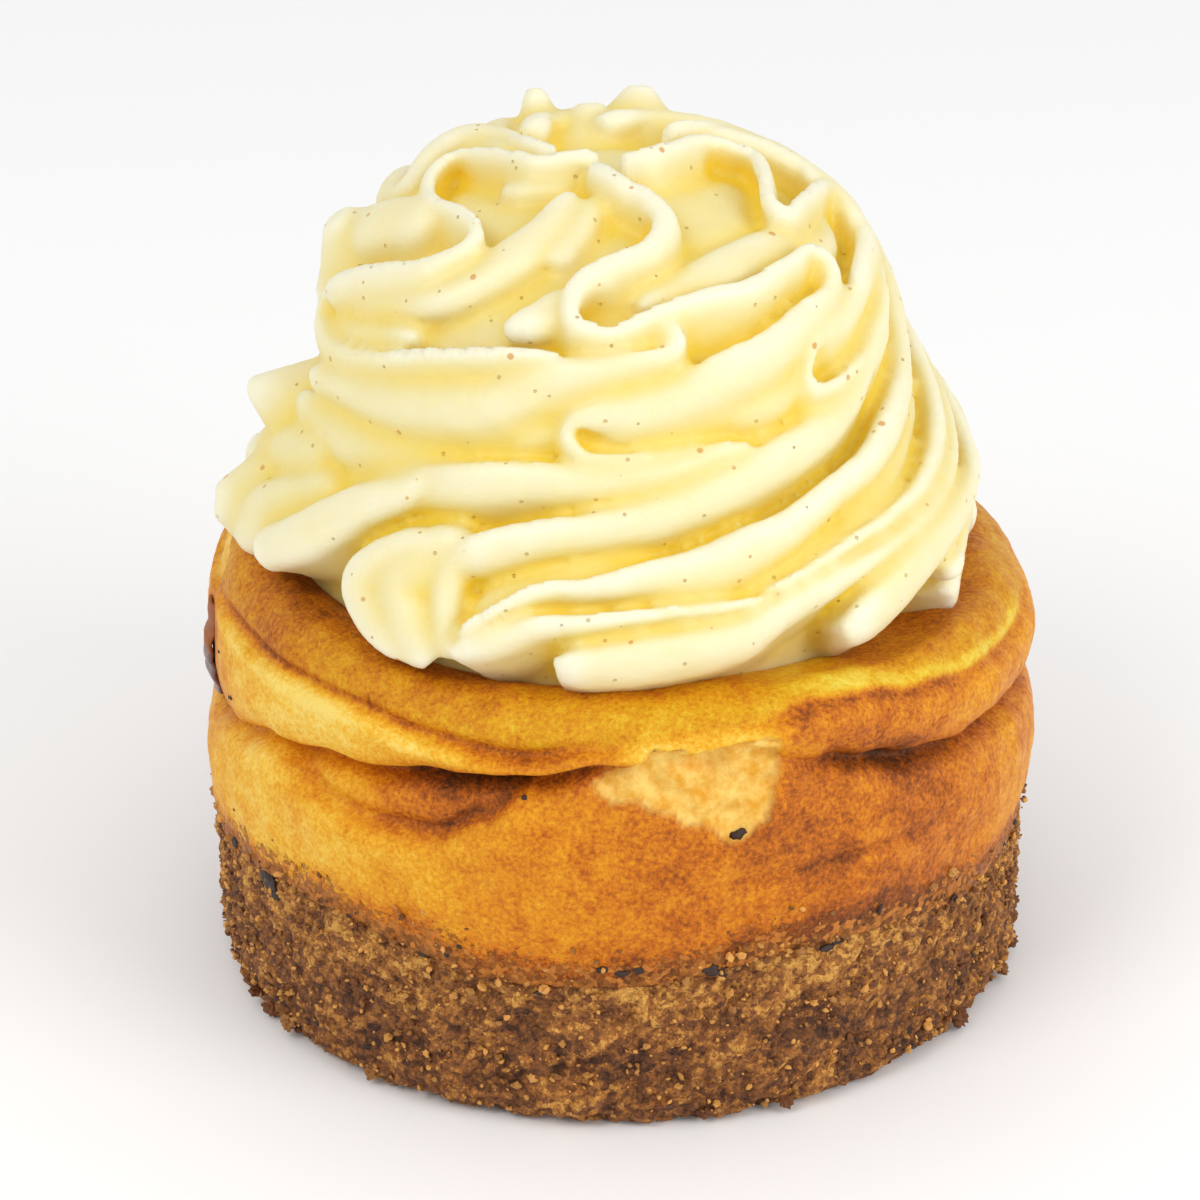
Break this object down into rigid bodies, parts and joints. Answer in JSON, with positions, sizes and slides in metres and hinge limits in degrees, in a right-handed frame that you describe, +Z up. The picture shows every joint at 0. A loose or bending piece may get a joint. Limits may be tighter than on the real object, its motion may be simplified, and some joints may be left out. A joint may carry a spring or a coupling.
{
  "type": "cheesecake",
  "caption": "Single-serving baked cheesecake with a crumb base, a golden filling with a rolled rim, and cream piped on top in a tall ridged swirl.",
  "frame": {"origin": "centre of the round underside, on the surface that the cake rests on", "axes": "+Z up through the middle of the cake; -Y towards the front, where the swirl's S-shaped folds are; +X to the right seen from the front"},
  "size_m": [0.0806, 0.08, 0.0828],
  "materials": {
    "crumb": "baked biscuit crumb, dull and grainy",
    "filling": "browned baked filling, soft sheen",
    "cream": "piped cream, satin"
  },
  "bodies": {
    "root": {"crumb_base": "crumb", "baked_filling": "filling", "piped_cream": "cream"}
  },
  "joints": []
}
